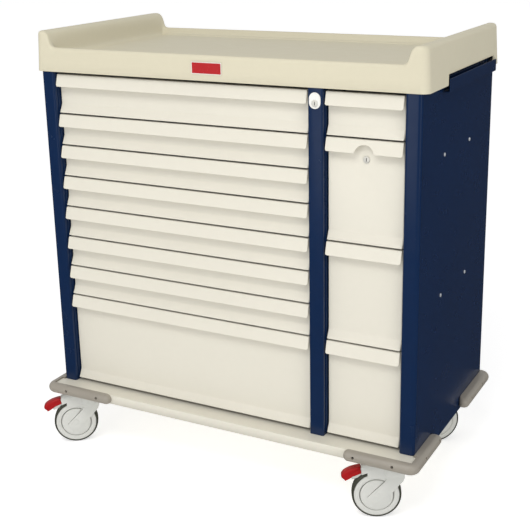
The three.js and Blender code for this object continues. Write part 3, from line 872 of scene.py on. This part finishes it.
# ------------------------------------------------------------------ locks and plate
def locks():
    cx, cz = 269.4, 1043.1
    hw, hh = 14.7, 19.4
    # domed obround plate: stacked insets
    loops = []
    for ins, y in ((0, -0.3), (0, -1.4), (0.35, -2.1), (1.1, -2.6), (2.4, -2.7), (3.0, -2.35), (3.6, -2.05), (5.0, -2.0)):
        r = hw - ins
        off = hh - hw
        loops.append([(cx + p[0], y, cz + p[1] + off) for p in arc(0, 0, r, 0, 180, 24)] +
                     [(cx + p[0], y, cz + p[1] - off) for p in arc(0, 0, r, 180, 360, 24)])
    n = len(loops[0])
    v, f = grid(loops, closed_cols=True)
    f.append(list(range(n)))
    f.append([(len(loops) - 1) * n + j for j in range(n)][::-1])
    o = obj("lock_escutcheon_plate", v, f, "white_plastic", smooth=40)
    cv, cf = prism(arc(269.6, 1036.5, 8.7, 0, 350, 35), -6, 6, "y")
    cutter(o, obj("tmp_cut", cv, cf, "white_plastic"))
    o.data.shade_smooth()
    o.data.set_sharp_from_angle(angle=40 * D2R)
    place(o, "cabinet", ["lock_escutcheon"])

    def plug(name, x, z, y_face, y_back, body, node, mat):
        prof = [(0, y_back), (8.4, y_back), (8.4, y_face + 0.8), (8.1, y_face + 0.25), (7.5, y_face), (5.9, y_face), (5.7, y_face + 0.35),
                (5.5, y_face + 0.35), (5.3, y_face), (0, y_face - 0.12)]
        v, f = lathe(prof, 48, "y", closed=False)
        o = obj(name, shift(v, dx=x, dz=z), f, mat, smooth=35)
        cv, cf = prism(fillet([(x - 1.1, z - 4.3, 0.8), (x + 1.1, z - 4.3, 0.8), (x + 1.1, z + 4.3, 0.8), (x - 1.1, z + 4.3, 0.8)], seg=4),
                       y_face - 2, y_face + 2.5, "y")
        cutter(o, obj("tmp_cut", cv, cf, mat))
        o.data.shade_smooth()
        o.data.set_sharp_from_angle(angle=35 * D2R)
        place(o, body, [node])
        # painted shade: a dark sheet set inside the key slot stands in for the shade in it
        v, f = prism([(x - 1.05, z - 4.1), (x + 1.05, z - 4.1), (x + 1.05, z + 4.1), (x - 1.05, z + 4.1)], y_face + 1.9, y_face + 2.3, "y")
        k = obj(name + "_keyway_painted_shade", v, f, "keyway_painted_shade")
        place(k, body)

    plug("main_lock_plug", 269.6, 1036.5, -3.0, 26, "main_lock", "main_lock_cylinder", "lock_chrome")
    plug("drawer_lock_plug", 392, 910, PANEL - 2.6, PANEL + 2, "drawer_lock", "drawer_lock_cylinder", "lock_chrome")

    # plain plate on the tray's front, with a thin raised border and no mark
    x0, x1, z0, z1, y = -60, 24, 1090.0, 1119.5, -4.3
    v, f = prism(fillet([(x0, z0, 1.5), (x1, z0, 1.5), (x1, z1, 1.5), (x0, z1, 1.5)], seg=4), y - 1.0, y, "y")
    o = obj("nameplate_border", v, f, "white_plastic")
    bevel(o, 0.35, 2)
    place(o, "cabinet", ["blank_nameplate"])
    v, f = prism(fillet([(x0 + 1.6, z0 + 1.6, 1), (x1 - 1.6, z0 + 1.6, 1), (x1 - 1.6, z1 - 1.6, 1), (x0 + 1.6, z1 - 1.6, 1)], seg=4),
                 y - 1.5, y - 0.9, "y")
    o = obj("nameplate_face", v, f, "plate_red")
    bevel(o, 0.25, 2)
    place(o, "cabinet")


locks()


# Side panel screws: small pan heads.
def side_screws():
    for sx in (-1, 1):
        for y in (167, 363):
            for z in (549, 904):
                prof = [(0, 0), (4.6, 0), (4.7, 0.5), (4.2, 1.5), (3.0, 2.1), (0, 2.3)]
                v, f = lathe(prof, 24, "z", closed=False)
                m = Matrix.Translation(F(sx * (CAB_HALF_W + 0.02), y, z)) @ Matrix.Rotation(sx * 90 * D2R, 4, "Y")
                o = obj("panel_screw_%s_%d_%d" % ("l" if sx < 0 else "r", y, z), v, f, "screw_steel", matrix=m, world=False)
                place(o, "cabinet")


side_screws()


# ------------------------------------------------------------------ casters
TRAIL, WR = 39.0, 62.5


PIVOT = (-86, 121.5)


def caster_meshes():
    """Meshes in the caster's own frame: swivel axis at the origin, wheel towards -X, axle along Y."""
    out = {}
    cx, cz = -TRAIL, WR

    def local(name, v, f, mat, smooth=38):
        return obj(name, v, f, mat, world=False, smooth=smooth)

    def keep(key, o, smooth=38):
        o.data.shade_smooth()
        o.data.set_sharp_from_angle(angle=smooth * D2R)
        out[key] = o.data
        bpy.data.objects.remove(o)

    def wheel_room(o):
        v, f = prism(arc(cx, cz, WR + 3.0, 0, 356, 89), -17, 17, "y")
        return cutter(o, local("tmp_cut", v, f, "caster_grey"))

    def along(tab, x):
        for (xa, *va), (xb, *vb) in zip(tab, tab[1:]):
            if x >= xb:
                t = (x - xa) / (xb - xa)
                return [p + (q - p) * t for p, q in zip(va, vb)]
        return list(tab[-1][1:])

    # x, half width, top of the upright side, crest
    spine = [(29.5, 21, 140, 160), (-10, 20.9, 136, 159.6), (-26, 20.4, 134.6, 158.3), (-46, 19.6, 132.6, 154.6), (-61, 17.3, 130.2, 150.2),
             (-70, 15.2, 128.9, 146.4), (-76.3, 13.6, 128.2, 142.6), (-79, 12.6, 128.0, 140.2)]

    for braked in (True, False):
        if braked:
            ends = [29.5, 10, -4, -12, -19, -26, -33, -40, -46, -51, -56, -61, -65.5, -70, -73, -75.2, -76.3]
            stations = [(x, *along(spine, x), 111.4) for x in ends]
        else:
            ends = [29.5, 10, -4, -12, -19, -26, -33, -40, -46, -51, -56, -60]
            stations = [(x, *along(spine, x), 111.4) for x in ends]
            stations += [(-63.5, 16.6, 131.0, 148.6, 114.5), (-66.2, 15.6, 131.5, 146.0, 118.5), (-68.2, 13.9, 131.5, 142.6, 122.5), (-69.2, 11.6, 131.5, 138.6, 126.5)]
        rows = []
        for i, (x, w, ze, zt, zb) in enumerate(stations):
            tip = braked and i == len(stations) - 1
            row = []
            for y, z in [(-w, zb), (-w, (zb + ze) / 2), (-w, ze)] + [(-w * math.cos(a * D2R) if a != 90 else 0.0, ze + (zt - ze) * math.sin(a * D2R) ** 0.9)
                                                                     for a in range(12, 169, 12)] + [(w, ze), (w, (zb + ze) / 2), (w, zb)]:
                row.append((x - (2.3 * max(0.0, (z - 121) / 19) if tip else 0), y, z))
            rows.append(row)
        n = len(rows[0])
        v, f = grid(rows, closed_cols=True)
        f.append(list(range(n)))
        f.append([(len(rows) - 1) * n + j for j in range(n)][::-1])
        o = local("fork_tmp", v, f, "caster_grey", 45)
        wheel_room(o)
        keep("hood_b" if braked else "hood", o, 45)
    # bracket under the pedal cap, with its hinge pin
    prof = fillet([(-70, 135, 2), (-80, 133, 3), (-89, 125.5, 5), (-98.5, 111.3, 3), (-102.8, 106, 2.2), (-100.4, 100.8, 2.2), (-88.7, 106.3, 10), (-76, 110), (-70, 111.4)])
    v, f = prism(prof, -9.4, 9.4, "y")
    o = local("fork_tmp", v, f, "caster_grey")
    bevel(o, 1.0, 3, 35)
    apply_all(o)
    wheel_room(o)
    keep("bracket", o)
    v, f = lathe([(0, -11.4), (2.1, -11.4), (2.5, -11.0), (2.5, 11.0), (2.1, 11.4), (0, 11.4)], 32, "y", closed=False)
    keep("pin", local("fork_tmp", shift(v, dx=PIVOT[0], dz=PIVOT[1]), f, "screw_steel"))
    # round swivel head
    prof = [(0, 118), (24, 118), (28.0, 119.5), (29.6, 123), (30, 128), (30, 150), (28.6, 152.2), (27.6, 152.4), (27.4, 153.6), (29.4, 154), (30, 155.2),
            (30, 159.4), (29.4, 160.2), (0, 160.2)]
    v, f = lathe(prof, 72, "z", closed=False)
    o = local("head_tmp", v, f, "caster_grey")
    wheel_room(o)
    keep("head", o)

    K, E = Vector((-19.2, 100.2)), Vector((-62.5, 56.0))       # the slit across the cover, from its kink to its end
    slit = (E - K).normalized()
    left = Vector((slit.y, -slit.x))
    if left.x > 0:
        left = -left

    def lift(x, z):
        # one flat face that leans in and meets the round cover at its lower left
        return 19.4 - 2.9 * ((12 - x) * 82 + (118 - z) * 67) / 11215.0

    for s in (-1, 1):
        # round cover over the wheel's centre
        ring = [(r, y * s) for r, y in ((0, 16.6), (10, 16.6), (22, 16.75), (34, 16.6), (38.6, 16.3), (40.3, 15.7), (41.0, 14.6), (41.2, 13.0), (41.2, 9.0))]
        v, f = lathe(ring, 120, "y", closed=False)
        v = shift(v, dx=cx, dz=cz)
        n0 = len(v)
        o = local("cap_tmp", v, f, "caster_grey", 35)
        bm = bmesh.new()
        bm.from_mesh(o.data)
        edges = [e for e in bm.edges if e.is_boundary]
        bmesh.ops.contextual_create(bm, geom=edges)
        bmesh.ops.recalc_face_normals(bm, faces=bm.faces)
        bm.to_mesh(o.data)
        bm.free()
        a0, a1 = K + left * 2.9 - slit * 4, E + left * 0.9
        w = [tuple(a0), tuple(a1), tuple(E - left * 0.2), tuple(K - left * 0.6 - slit * 4)]
        v, f = prism(w, s * 12.4, s * 19, "y")
        cutter(o, local("tmp_cut", v, f, "caster_grey"))
        keep("cap%d" % s, o, 35)
        # leg plate: from the head over the lower right half of the cover
        P = [(29.5, 130, 0), (29.2, 112.5, 9), (26.5, 103.0, 8), (15.5, 91.0, 9), (11.6, 84.0, 5), (4.6, 76.0, 3)]
        a = arc(cx, cz, 41.1, 14, -158, 34)
        diag = [(-62.5, 56.0, 0.8), (-19.2, 100.2, 2.5), (-15.0, 107.5, 5), (-14.4, 130, 0)]
        poly = fillet([(p[0], p[1], p[2]) for p in P] + [(p[0], p[1], 0) for p in a] + diag, seg=5)
        n = len(poly)
        inner = [(x, s * 12.6, z) for x, z in poly]
        outer = [(x, s * lift(x, z), z) for x, z in poly]
        v = inner + outer
        f = [list(range(n))[::-1]] + [[i, (i + 1) % n, n + (i + 1) % n, n + i] for i in range(n)]
        f.append([n + i for i in range(n)])
        o = local("arm_tmp", v, f, "caster_grey", 45)
        bevel(o, 0.6, 3, 60)
        apply_all(o)
        for r0, r1, d in ((7.1, 7.9, 0.45),):
            y_in, y_out = (lift(cx, cz) - d) * s, 24 * s
            v, f = lathe([(r0, y_in), (r1, y_in), (r1, y_out), (r0, y_out)], 72, "y")
            cutter(o, local("tmp_cut", shift(v, dx=cx, dz=cz), f, "caster_grey"))
        keep("arm%d" % s, o, 40)
    # axle
    v, f = lathe([(0, -12.5), (4.6, -12.5), (4.9, -12.2), (4.9, 12.2), (4.6, 12.5), (0, 12.5)], 32, "y", closed=False)
    keep("axle", local("axle_tmp", shift(v, dx=cx, dz=cz), f, "screw_steel"))
    # wheel body: hub, deep web and the rim that shows outside the cover
    prof = [(5.1, -11), (9, -11), (10, -7), (42.9, -7), (43.3, -13.6), (43.9, -15.2), (45.0, -15.8), (50.0, -16.0), (54.6, -15.8), (56.4, -15.0), (57.2, -13.2), (57.2, 13.2),
            (56.4, 15.0), (54.6, 15.8), (50.0, 16.0), (45.0, 15.8), (43.9, 15.2), (43.3, 13.6), (42.9, 7), (10, 7), (9, 11), (5.1, 11)]
    v, f = lathe(prof, 112, "y")
    keep("wheel", local("wheel_tmp", v, f, "caster_grey"), 40)
    prof = [(57.3, -13.0), (57.6, -14.6), (58.4, -15.5), (59.6, -15.6), (61.0, -14.2), (62.0, -11.0), (62.5, -6), (62.5, 6), (62.0, 11.0),
            (61.0, 14.2), (59.6, 15.6), (58.4, 15.5), (57.6, 14.6), (57.3, 13.0)]
    v, f = lathe(prof, 128, "y")
    keep("tyre", local("tyre_tmp", v, f, "caster_tyre"), 50)
    # brake pedal: a hollow cap, open below
    top = [(-77.3, 121, 1.2), (-79.5, 138, 3), (-93, 135, 20), (-106, 131, 30), (-117, 125, 24), (-124, 119.5, 9), (-128.4, 112, 6), (-126.6, 106, 5),
           (-122, 102, 4), (-117.8, 99.5, 1.6)]
    low = [(-112, 102, 6), (-104.4, 106.4, 3), (-100, 111, 3)]
    side = fillet(top + low, seg=5)
    cen = Vector((-104, 118))
    rows = []
    w, R, NL = 12.2, 6.0, 7
    n = len(side)
    nrm = []
    for i in range(n):
        q = Vector(side[(i + 1) % n]) - Vector(side[i - 1])
        m_ = Vector((q.y, -q.x)).normalized()
        if m_.dot(Vector(side[i]) - cen) < 0:
            m_ = -m_
        # only the upper edges are rounded over, not the open underside or the butt
        up = max(0.0, min(1.0, (m_.y + 0.25) / 0.5)) if side[i][0] > -120 else 1.0
        if side[i][0] > -79.0 and side[i][1] < 132:
            up = 0.0
        nrm.append(m_ * up)
    ph = [90 * k / NL for k in range(NL + 1)]
    lev = [(-w + R * (1 - math.cos(a * D2R)), R * (1 - math.sin(a * D2R))) for a in ph]
    lev += [(-y, e) for y, e in lev[::-1]]
    for y, e in lev:
        rows.append([(side[i][0] - nrm[i].x * e, y, side[i][1] - nrm[i].y * e) for i in range(n)])
    v, f = grid(rows, closed_cols=True)
    f.append(list(range(n)))
    f.append([(len(rows) - 1) * n + j for j in range(n)][::-1])
    o = local("pedal_tmp", v, f, "pedal_red", 40)
    room = fillet([(-70, 137), (-79.7, 134.6), (-92.4, 131.8, 20), (-105, 127.8, 26), (-115.2, 122.3, 20), (-121.6, 117.6, 6), (-125.2, 111.8, 4), (-123.9, 107.4, 4), (-120.6, 104.4, 3),
                   (-115.8, 99), (-108, 86), (-70, 86)], seg=4)
    v, f = prism(room, -9.9, 9.9, "y")
    cutter(o, local("tmp_cut", v, f, "pedal_red"))
    v, f = prism(arc(PIVOT[0], PIVOT[1], 2.8, 0, 345, 23), -11.7, 11.7, "y")
    cutter(o, local("tmp_cut", v, f, "pedal_red"))
    keep("pedal", o, 40)
    return out


YAW = {"front_left": 35, "front_right": 25, "rear_right": 42, "rear_left": 30}
STEM = {"front_left": (-467.5, 21), "front_right": (467.5, 21), "rear_right": (467.5, 476), "rear_left": (-467.5, 476)}
CM = caster_meshes()
for corner, (x, y) in STEM.items():
    m = Matrix.Translation(F(x, y, 0)) @ Matrix.Rotation(YAW[corner] * D2R, 4, "Z")
    wm = m @ Matrix.Translation((-TRAIL / 1000, 0, WR / 1000))

    def put(name, key, body, matrix, replaces=()):
        o = bpy.data.objects.new(name, CM[key])
        bpy.context.scene.collection.objects.link(o)
        o.matrix_world = matrix
        return place(o, body, replaces)

    braked = corner.startswith("front")
    put(corner + "_caster_hood", "hood_b" if braked else "hood", corner + "_caster", m, [corner + "_caster_fork"])
    put(corner + "_swivel_head", "head", corner + "_caster", m)
    put(corner + "_axle", "axle", corner + "_caster", m)
    if braked:
        put(corner + "_pedal_bracket", "bracket", corner + "_caster", m)
        put(corner + "_pedal_pin", "pin", corner + "_caster", m)
    for s, w in ((-1, "outer"), (1, "inner")):
        put("%s_cap_%s" % (corner, w), "cap%d" % s, corner + "_caster", m)
        put("%s_arm_%s" % (corner, w), "arm%d" % s, corner + "_caster", m)
    put(corner + "_wheel_body", "wheel", corner + "_wheel", wm, [corner + "_wheel"])
    put(corner + "_tyre_tread", "tyre", corner + "_wheel", wm, [corner + "_tyre"])
    if braked:
        put(corner + "_pedal", "pedal", corner + "_brake", m, [corner + "_brake_pedal"])


# ------------------------------------------------------------------ stage, light, camera
WORLD_HIGH, WORLD_LOW, FLOOR_ALBEDO, FLOOR_GLOW = 0.57, 0.05, 0.75, 0.383
FRONT, BOX_L, BOX_R = 56, 5.6, 8.6
SHOWN_ALBEDO, SHOWN_GLOW = 0.78, 0.56


def stage():
    sc = bpy.context.scene
    sc.view_settings.view_transform = "Standard"
    sc.view_settings.look = "None"
    sc.view_settings.exposure = 0.0
    sc.view_settings.gamma = 1.0
    sc.cycles.use_denoising = True
    # World: a plain grey-white dome, brighter overhead and dim below the horizon.
    w = bpy.data.worlds.new("studio")
    sc.world = w
    w.use_nodes = True
    wn, wl = w.node_tree.nodes, w.node_tree.links
    bg = wn["Background"]
    tc = wn.new("ShaderNodeTexCoord")
    sep = wn.new("ShaderNodeSeparateXYZ")
    wl.new(tc.outputs["Generated"], sep.inputs[0])
    ramp = wn.new("ShaderNodeValToRGB")
    mr = wn.new("ShaderNodeMapRange")
    mr.inputs["From Min"].default_value = -1
    mr.inputs["From Max"].default_value = 1
    wl.new(sep.outputs["Z"], mr.inputs["Value"])
    wl.new(mr.outputs["Result"], ramp.inputs["Fac"])
    ramp.color_ramp.elements[0].position = 0.47
    ramp.color_ramp.elements[0].color = (WORLD_LOW, WORLD_LOW, WORLD_LOW, 1)
    ramp.color_ramp.elements[1].position = 0.56
    ramp.color_ramp.elements[1].color = (WORLD_HIGH, WORLD_HIGH, WORLD_HIGH, 1)
    wl.new(ramp.outputs["Color"], bg.inputs["Color"])
    bg.inputs["Strength"].default_value = 1.0
    # The floor is two sheets: one is what the camera sees, the other what lights the cart from below.
    S = 60

    def sheet(name, z, albedo, glow):
        me = bpy.data.meshes.new(name)
        me.from_pydata([(-S, -S, z), (S, -S, z), (S, S, z), (-S, S, z)], [], [[0, 1, 2, 3]])
        fl = bpy.data.materials.new(name + "_white")
        fl.use_nodes = True
        b = fl.node_tree.nodes["Principled BSDF"]
        b.inputs["Base Color"].default_value = (albedo, albedo, albedo, 1)
        b.inputs["Roughness"].default_value = 0.9
        b.inputs["Specular IOR Level"].default_value = 0.0
        b.inputs["Emission Color"].default_value = (1, 1, 1, 1)
        b.inputs["Emission Strength"].default_value = glow
        me.materials.append(fl)
        o = bpy.data.objects.new(name, me)
        sc.collection.objects.link(o)
        o.visible_glossy = False
        return o

    seen = sheet("floor_seen", 0.0, SHOWN_ALBEDO, SHOWN_GLOW)
    seen.visible_diffuse = False
    seen.visible_transmission = False
    seen.visible_shadow = False
    sheet("floor_bounce", -0.002, FLOOR_ALBEDO, FLOOR_GLOW).visible_camera = False

    def area(name, loc, target, size, size_y, power, color=(1, 1, 1)):
        L = bpy.data.lights.new(name, "AREA")
        L.shape = "RECTANGLE"
        L.size, L.size_y = size, size_y
        L.energy = power
        L.color = color
        ob = bpy.data.objects.new(name, L)
        sc.collection.objects.link(ob)
        ob.location = loc
        ob.rotation_euler = (Vector(target) - Vector(loc)).to_track_quat("-Z", "Y").to_euler()
        return ob

    area("front_top", (0.4, -2.9, 3.9), (0, -0.2, 0.6), 2.4, 1.4, FRONT, (1.0, 0.99, 0.97))
    area("box_left", (-0.35, -2.3, 1.05), (0, 0, 1.0), 0.8, 1.6, BOX_L, (1.0, 1.0, 1.0))
    area("box_right", (2.65, -1.41, 1.25), (0, 0, 0.75), 0.9, 2.2, BOX_R, (1.0, 1.0, 1.0))
    cam = bpy.data.cameras.new("camera")
    cam.sensor_width = 36
    cam.sensor_fit = "HORIZONTAL"
    cam.lens = 71.21
    cam.shift_x = 0.00047
    cam.shift_y = -0.07587
    cam.clip_end = 200
    az, el, roll = 28.0014 * D2R, 16.2933 * D2R, -1.09926 * D2R
    back = Vector((math.sin(az) * math.cos(el), -math.cos(az) * math.cos(el), math.sin(el)))
    fwd = -back
    right = fwd.cross(Vector((0, 0, 1))).normalized()
    up = right.cross(fwd)
    r2 = right * math.cos(roll) + up * math.sin(roll)
    u2 = -right * math.sin(roll) + up * math.cos(roll)
    M = Matrix.Identity(4)
    for i in range(3):
        M[i][0], M[i][1], M[i][2] = r2[i], u2[i], back[i]
    p = F(1294.10, -2186.10, 1450.66)
    M[0][3], M[1][3], M[2][3] = p
    co = bpy.data.objects.new("camera", cam)
    sc.collection.objects.link(co)
    co.matrix_world = M
    sc.camera = co


stage()
